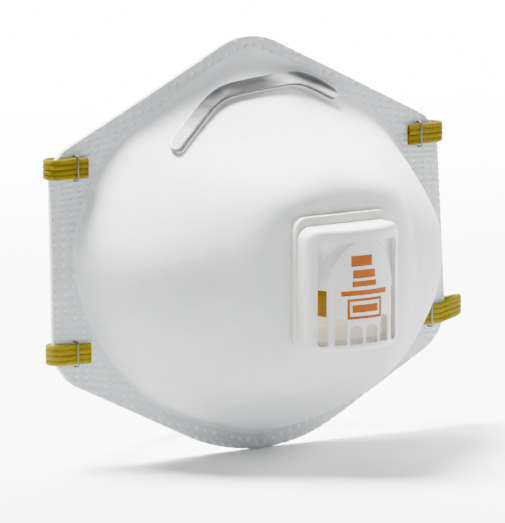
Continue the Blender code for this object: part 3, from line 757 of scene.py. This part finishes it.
def soften(obj, width):
    """Small rounds on the edges, so that the moulding catches the light."""
    bevel = obj.modifiers.new("rounds", "BEVEL")
    bevel.width = width
    bevel.segments = 3
    bevel.limit_method = "ANGLE"
    bevel.angle_limit = math.radians(32)
    bevel.harden_normals = False
    settle(obj)


def finish_piece(obj, name, surface):
    obj.name = name
    obj.data.materials.clear()
    obj.data.materials.append(surface)
    shade(obj, 30)
    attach(obj, "mask_body")
    return obj


def cover_front(x):
    return COVER_AXIS_Y - math.sqrt(COVER_RADIUS ** 2 - x * x)


def cover_block(back):
    """Rounded block under the cover's curved front, as rings from its back edge to its middle."""
    rings = [(0.0, None), (0.0, COVER_EDGE)]
    steps = 8
    for k in range(1, steps + 1):
        turn = math.pi / 2 * k / steps
        rings.append((COVER_EDGE * (1 - math.cos(turn)), COVER_EDGE * (1 - math.sin(turn))))
    rings += [(inset, 0.0) for inset in np.linspace(COVER_EDGE, 0.0165, 14)[1:]]
    mesh = bmesh.new()
    rows = []
    for inset, down in rings:
        corner = max(COVER_CORNER - inset, 0.0002)
        outline = rounded_box(COVER_HALF_WIDTH - inset, COVER_TOP - inset, COVER_BOTTOM + inset,
                              corner, 10)
        row = []
        for i, ((xa, za), (xb, zb)) in enumerate(zip(outline, outline[1:] + outline[:1])):
            pieces = 9 if i % 11 == 10 else 1
            for k in range(pieces):
                x, z = xa + (xb - xa) * k / pieces, za + (zb - za) * k / pieces
                y = back if down is None else cover_front(x) + down
                row.append(mesh.verts.new((x, y, VALVE_Z + z)))
        rows.append(row)
    for here, there in zip(rows, rows[1:]):
        for i in range(len(here)):
            j = (i + 1) % len(here)
            mesh.faces.new((here[i], here[j], there[j], there[i]))
    mesh.faces.new(rows[0])
    mesh.faces.new(rows[-1])
    return helper(mesh)


def cover_solid(outline, radius=None, front=None):
    """A cutter through the cover, from in front of it or from under a curved roof, to its back."""
    made = prism(outline, front or cover_front(0) - 0.002, PAD_Y - GAP)
    return cut(made, "INTERSECT", barrel(radius)) if radius else made


def panel_solid(bottom):
    """The raised panel, whose side walls slope outward towards the back."""
    mesh = bmesh.new()
    ends = []
    for (half_width, top), y in ((PANEL_FRONT, cover_front(0) - 0.004), (PANEL_BACK, PAD_Y - GAP)):
        ends.append([mesh.verts.new((x, y, VALVE_Z + z)) for x, z in arch(half_width, top, PANEL[2], bottom)])
    for i in range(len(ends[0])):
        mesh.faces.new((ends[0][i - 1], ends[0][i], ends[1][i], ends[1][i - 1]))
    for end in ends:
        mesh.faces.new(end)
    return helper(mesh)


def valve_cover(surface, ink):
    back = PAD_Y - GAP - SEAT_PLATE - 0.0001
    cover = cover_block(back)
    half, top, bottom = POCKET
    box = rounded_box(half, top, bottom, 0.0014)
    pocket = cut(cover_solid(box), "DIFFERENCE", barrel(RECESS_RADIUS))
    pocket = cut(pocket, "DIFFERENCE", panel_solid(bottom - 0.001))
    cut(cover, "DIFFERENCE", pocket)
    cut(cover, "DIFFERENCE", cover_solid(box, RECESS_RADIUS - COVER_WALL))
    inside = arch(PANEL[0] - COVER_WALL, PANEL[1] - 2 * COVER_WALL, PANEL[2], bottom + 0.0003)
    cut(cover, "DIFFERENCE", cover_solid(inside, COVER_RADIUS - COVER_WALL))
    behind_ribs = rounded_box(SLOT_EDGES[1] - 0.0002, PANEL[2], WINDOW_BOTTOM, 0.0005)
    cut(cover, "DIFFERENCE", cover_solid(behind_ribs, front=cover_front(SLOT_EDGES[0]) + COVER_WALL))
    for side in (-1, 1):
        near, far = sorted(side * x for x in SLOT_EDGES)
        slot = rounded_box((far - near) / 2, PANEL[2], WINDOW_BOTTOM, 0.0005, 4)
        slot = [(x + (near + far) / 2, z) for x, z in slot]
        cut(cover, "DIFFERENCE", cover_solid(slot))
        for left, right, crown in WINDOWS:
            middle, width = side * (left + right) / 2, (right - left) / 2
            outline = arch(width, crown, crown - width * 0.8, WINDOW_BOTTOM, 14)
            cut(cover, "DIFFERENCE", cover_solid([(middle + x, z) for x, z in outline]))
    soften(cover, 0.00022)
    cover = finish_piece(cover, "valve_cover_shell", surface)
    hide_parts("valve_cover")
    marks(ink)


def marks(ink):
    """Plain orange bars and a frame on the panel, each as left, right, low and high."""
    bars = ((-0.0048, 0.0027, 0.0063, 0.0097), (-0.0042, 0.0040, 0.0026, 0.0052),
            (-0.0044, 0.0044, 0.0000, 0.0018), (-0.0080, 0.0087, -0.0027, -0.0011),
            (-0.0060, 0.0066, -0.0100, -0.0091), (-0.0060, 0.0066, -0.0045, -0.0036),
            (-0.0060, -0.0051, -0.0091, -0.0045), (0.0057, 0.0066, -0.0091, -0.0045),
            (-0.0044, 0.0051, -0.0080, -0.0056))
    verts, faces = [], []
    for left, right, low, high in bars:
        steps = max(2, round((right - left) / 0.0005))
        for k in range(steps + 1):
            x = left + (right - left) * k / steps
            for z in (low, high):
                verts.append((x, cover_front(x) - 0.00004, VALVE_Z + z))
            if k:
                n = len(verts)
                faces.append((n - 4, n - 2, n - 1, n - 3))
    data = bpy.data.meshes.new("cover_marks")
    data.from_pydata(verts, [], faces)
    data.update()
    obj = new_object("cover_marks", data, ink)
    obj.data.shade_smooth()


def valve_seat(surface):
    """Plate with a tub, a ridged orifice in the tub's floor and two ribs across it."""
    front = PAD_Y - GAP - SEAT_PLATE
    seat_x, seat_z = SEAT_HALF
    seat = prism(rounded_box(seat_x, seat_z, -seat_z, SEAT_CORNER), front, PAD_Y - GAP / 2)
    tub_x, tub_z = TUB_HALF
    tub = prism(rounded_box(tub_x, tub_z, -tub_z, TUB_CORNER), front + 0.0005, TUB_BACK_Y)
    cut(seat, "UNION", tub)
    floor_y = TUB_BACK_Y - TUB_WALL
    inner_x, inner_z = tub_x - TUB_WALL, tub_z - TUB_WALL
    hollow = rounded_box(inner_x, inner_z, -inner_z, TUB_CORNER - TUB_WALL)
    cut(seat, "DIFFERENCE", prism(hollow, front - PAST, floor_y))
    half, top, bottom = ORIFICE
    ridge = rounded_box(half + RIDGE_WIDTH, top + LEDGE_HEIGHT, bottom - RIDGE_WIDTH, RIDGE_CORNER)
    cut(seat, "UNION", prism(ridge, floor_y - RIDGE_HEIGHT, floor_y + TUB_WALL / 2))
    orifice = rounded_box(half, top, bottom, ORIFICE_CORNER)
    cut(seat, "DIFFERENCE", prism(orifice, floor_y - 3 * PAST, TUB_BACK_Y + PAST))
    upright = rounded_box(CROSS_RIB_HALF, top + PAST, bottom - PAST, CROSS_RIB_CORNER, 3)
    cut(seat, "UNION", prism(upright, floor_y - 0.0005, TUB_BACK_Y - TUB_WALL / 4))
    middle = (top + bottom) / 2
    level = rounded_box(half + PAST, middle + CROSS_RIB_HALF, middle - CROSS_RIB_HALF, CROSS_RIB_CORNER, 3)
    cut(seat, "UNION", prism(level, floor_y - 0.0003, TUB_BACK_Y - TUB_WALL / 3))
    soften(seat, 0.0003)
    seat = finish_piece(seat, "valve_seat_moulding", surface)
    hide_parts("valve_seat")


def valve_flap(surface):
    """Thin flat sheet, hanging from its hinge edge, with rounded lower corners."""
    back = TUB_BACK_Y - TUB_WALL - RIDGE_HEIGHT - GAP
    half, top, bottom = FLAP
    rows = []
    steps = 40
    for k in range(steps + 1):
        z = top + (bottom - top) * k / steps
        width = half
        if z < bottom + FLAP_CORNER:
            drop = (bottom + FLAP_CORNER - z) / FLAP_CORNER
            width = half - FLAP_CORNER * (1 - math.sqrt(max(1 - drop * drop, 0.0)))
        xs = np.linspace(-width, width, 13)
        ring = [(x, back, VALVE_Z + z) for x in xs]
        ring += [(x, back - FLAP_THICKNESS, VALVE_Z + z) for x in xs[::-1]]
        rows.append(ring)
    obj = new_object("valve_flap_sheet", grid_mesh("valve_flap_sheet", rows, True, True), surface, None)
    fix_normals(obj)
    shade(obj, 50)
    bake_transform(obj)
    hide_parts("valve_flap")


# --- Straps and staples -------------------------------------------------------------------------


def braid(name, line, normals_of, surface):
    """Flat elastic braid with four ribs, along a line."""
    stations, gone = evenly(line, 0.0003)
    across_steps = 40
    centres = np.array([tuple(p) for p in stations])
    along = np.gradient(centres, axis=0)
    along /= np.linalg.norm(along, axis=1, keepdims=True)
    normal = np.array([tuple(normals_of(Vector(c), Vector(a))) for c, a in zip(centres, along)])
    across = np.cross(along, normal)
    w = np.cos(np.linspace(0, math.pi, across_steps + 1)) * 0.5
    w = np.concatenate([w, w[-2:0:-1]])
    top = np.concatenate([np.ones(across_steps + 1), -np.ones(across_steps - 1)])
    rib = np.abs(np.sin(math.pi * 4 * (w + 0.5)))
    edge = np.sqrt(np.clip(1 - (np.abs(w) / 0.5) ** 6, 0, 1))
    stitch = gone[:, None] / 0.0011 + 0.5 * (np.floor(4 * (w + 0.4999)) % 2)
    weave = 0.05 * np.abs(np.sin(math.pi * stitch))
    half = STRAP_THICKNESS / 2 * (0.60 + 0.34 * np.sqrt(rib) + weave) * edge
    wander = 0.00006 * np.sin(gone * 900.0)[:, None]
    grid = (centres[:, None] + across[:, None] * (w[None, :, None] * STRAP_WIDTH + wander[..., None])
            + normal[:, None] * (half * top)[..., None])
    data = grid_mesh(name, grid, True, True)
    # Mask of the grooves between the ribs, where the braid's material paints shade.
    groove = np.broadcast_to((1 - smoothstep(rib / 0.55)) * (np.abs(w) < 0.46), half.shape)
    paint(data, "groove", groove)
    obj = new_object(name, data, surface)
    fix_normals(obj)
    shade(obj, 60)
    return obj, stations


def exit_y(z):
    return flange_y(STRAP_EXIT_X, z) + CUP_THICKNESS + GAP + STRAP_THICKNESS / 2 + STRAP_STAND_OFF


def flange_edge_x(z):
    rise = z - VALVE_Z
    radius = OUTLINE_CORNERS[-1][0]
    for _ in range(12):
        radius = float(outline_radius(math.asin(rise / radius)))
    return math.sqrt(radius * radius - rise * rise)


def strap_end(corner, side, height, surface):
    """Strap end from its tab in front, round the flange's edge, to where the free span starts."""
    z = STRAP_HEIGHTS[height]
    bulge = STRAP_BULGE[corner]
    edge = flange_edge_x(z)
    tab = STRAP_TAB_INNER[height]
    lift = GAP + STRAP_THICKNESS / 2
    inset = edge - 0.003
    turn = edge + 0.0006 + 0.3 * (bulge - 0.002)
    behind = CUP_THICKNESS + lift
    route = [
        (tab, flange_y(tab, z) - lift),
        ((tab + inset) / 2, flange_y((tab + inset) / 2, z) - lift),
        (inset, flange_y(inset, z) - lift),
        (turn, flange_y(edge, z) - lift - 0.0001),
        (edge + bulge, flange_y(edge, z) + CUP_THICKNESS / 2),
        (turn, flange_y(edge, z) + behind + 0.0003),
        (inset, flange_y(inset, z) + behind + 0.0008),
        (STRAP_EXIT_X + STRAP_LEAD, exit_y(z) - STRAP_LEAD * STRAP_SLOPE),
        (STRAP_EXIT_X - STRAP_JOIN / 2, exit_y(z) + STRAP_JOIN / 2 * STRAP_SLOPE),
    ]
    rise = STRAP_RISE.get(corner, 0.0)
    lifts = (0.0, 0.0, 0.0, 0.6, 1.0, 0.6, 0.0, 0.0, 0.0)
    line = smooth_line([(side * x, y, z + rise * up) for (x, y), up in zip(route, lifts)], 12)
    name = f"strap_end_{corner}"
    obj, _ = braid(name, line, lambda p, a: a.cross(Vector((0, 0, 1))).normalized(), surface)
    where = corner.split("_")[1]
    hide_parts(f"{height}_strap_end_{where}")


def strap_span(height, surface):
    """Free span between the two ends of a strap."""
    z = STRAP_HEIGHTS[height]
    half = [(x, exit_y(z) + back, z + down) for x, back, down in STRAP_ROUTE]
    route = [(-x, y, h) for x, y, h in half] + list(reversed(half[:-1]))
    line = smooth_line(route, 12)
    drop = -STRAP_ROUTE[-1][2]

    def normal(place, along):
        tilt = 0.6 * float(smoothstep((z - place.z) / drop))
        return along.cross(Vector((0, math.sin(tilt), math.cos(tilt)))).normalized()

    obj, stations = braid(f"{height}_head_strap", line, normal, surface)
    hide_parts(f"{height}_strap")


def staple(corner, side, height, surface):
    """Wire staple round the strap end and through the flange, its points bent in behind."""
    z = STRAP_HEIGHTS[height]
    front = flange_y(STAPLE_X[height], z) - 2 * GAP - STRAP_THICKNESS - STAPLE_WIRE / 2 + 0.0001
    back = flange_y(STAPLE_X[height], z) + FLANGE_THICKNESS + GAP + STAPLE_WIRE / 2
    bend = STAPLE_WIRE
    turns = (0.4, 0.8, 1.2, math.pi / 2)
    half = [(front + 0.00015, 0.0), (front, STAPLE_HALF - bend)]
    half += [(front + bend * (1 - math.cos(a)), STAPLE_HALF - bend * (1 - math.sin(a))) for a in turns]
    half += [(back - bend, STAPLE_HALF)]
    half += [(back - bend * (1 - math.sin(a)), STAPLE_HALF - bend * (1 - math.cos(a))) for a in turns]
    half += [(back, STAPLE_HALF - STAPLE_CLINCH)]
    path = [(y, -h) for y, h in reversed(half[1:])] + half
    curve = bpy.data.curves.new(f"wire_staple_{corner}", "CURVE")
    curve.dimensions = "3D"
    curve.bevel_depth = STAPLE_WIRE / 2
    curve.bevel_resolution = 4
    curve.use_fill_caps = True
    spline = curve.splines.new("POLY")
    spline.points.add(len(path) - 1)
    for point, (y, h) in zip(spline.points, path):
        point.co = (side * STAPLE_X[height], y, z + h, 1.0)
    obj = new_object(f"wire_staple_{corner}", curve, surface)
    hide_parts(f"staple_{corner}")


# --- Stage --------------------------------------------------------------------------------------


def stage(floor_z):
    """Pale floor and soft lamps; each lamp has a place, a target, a size, a power and a spread."""
    paper = Nodes("floor_paper")
    tone = paper.noise(8.0, 3.0)
    paper.link(paper.ramp(tone, grey(0.895), grey(0.905)), "Base Color")
    paper.shader.inputs["Roughness"].default_value = 0.9
    data = bpy.data.meshes.new("floor")
    size = 12.0
    data.from_pydata([(-size, -size, floor_z), (size, -size, floor_z), (size, size, floor_z),
                      (-size, size, floor_z)], [], [(0, 1, 2, 3)])
    floor = new_object("floor", data, paper.made, None)

    world = bpy.data.worlds.new("studio")
    bpy.context.scene.world = world
    world.use_nodes = True
    world.node_tree.nodes["Background"].inputs["Color"].default_value = (0.97, 0.98, 1.0, 1.0)
    world.node_tree.nodes["Background"].inputs["Strength"].default_value = 0.27
    lamps = (("top", (-0.20, 0.28, 1.0), (0, -0.02, 0), 0.5, 8.2, 44),
             ("left", (-1.05, 0.25, 0.70), (0, -0.02, 0), 0.5, 0.12, 60),
             ("right", (1.05, -0.10, 0.60), (0, -0.02, 0), 0.6, 1.9, 60),
             ("backdrop", (0.50, 0.95, 0.75), (0.55, 1.05, -0.07), 1.3, 150.0, 132))
    for name, place, target, size, power, spread in lamps:
        lamp = bpy.data.lights.new(name, "AREA")
        lamp.shape = "DISK"
        lamp.size = size
        lamp.energy = power
        lamp.spread = math.radians(spread)
        obj = bpy.data.objects.new(name, lamp)
        obj.location = place
        obj.rotation_euler = (Vector(target) - Vector(place)).to_track_quat("-Z", "Y").to_euler()
        bpy.context.scene.collection.objects.link(obj)


def camera():
    a, e = CAMERA_AZIMUTH, CAMERA_ELEVATION
    back = Vector((math.sin(a) * math.cos(e), -math.cos(a) * math.cos(e), math.sin(e)))
    right = Vector((math.cos(a), math.sin(a), 0.0))
    up = back.cross(right)
    aim = right * AIM_RIGHT + up * AIM_UP
    lens = bpy.data.cameras.new("camera")
    lens.sensor_width = 36.0
    lens.lens = 36.0 * CAMERA_DISTANCE / PICTURE_HEIGHT
    lens.clip_start = 0.1
    lens.clip_end = 60.0
    obj = bpy.data.objects.new("camera", lens)
    obj.location = aim + back * CAMERA_DISTANCE
    obj.rotation_euler = back.to_track_quat("Z", "Y").to_euler()
    bpy.context.scene.collection.objects.link(obj)
    bpy.context.scene.camera = obj


# --- Build --------------------------------------------------------------------------------------

web = nonwoven_material("cover_web_look", (0.70, 0.72, 0.74), (0.79, 0.80, 0.81))
shell = nonwoven_material("inner_shell_look", (0.70, 0.705, 0.70), (0.78, 0.78, 0.77))
plastic = plastic_material("valve_plastic_look", (0.80, 0.80, 0.785), 0.30)
metal = metal_material("clip_aluminium_look", (0.17, 0.173, 0.177), 0.34, (0.12, 1.0, 1.0))
steel = metal_material("staple_steel_look", (0.14, 0.135, 0.13), 0.40, (1.0, 1.0, 0.2))
yellow = braid_material()

cup_skins(web, shell)
nose_pieces(metal, glue_material(), foam_material())
valve_seat(seat_material())
valve_flap(rubber_material())
valve_cover(plastic, print_material())
for height in STRAP_HEIGHTS:
    strap_span(height, yellow)
    for side, where in ((-1, "left"), (1, "right")):
        strap_end(f"{height}_{where}", side, height, yellow)
        staple(f"{height}_{where}", side, height, steel)

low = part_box("outer_cover_web")[0]
stage(low.z - 0.0002)
camera()
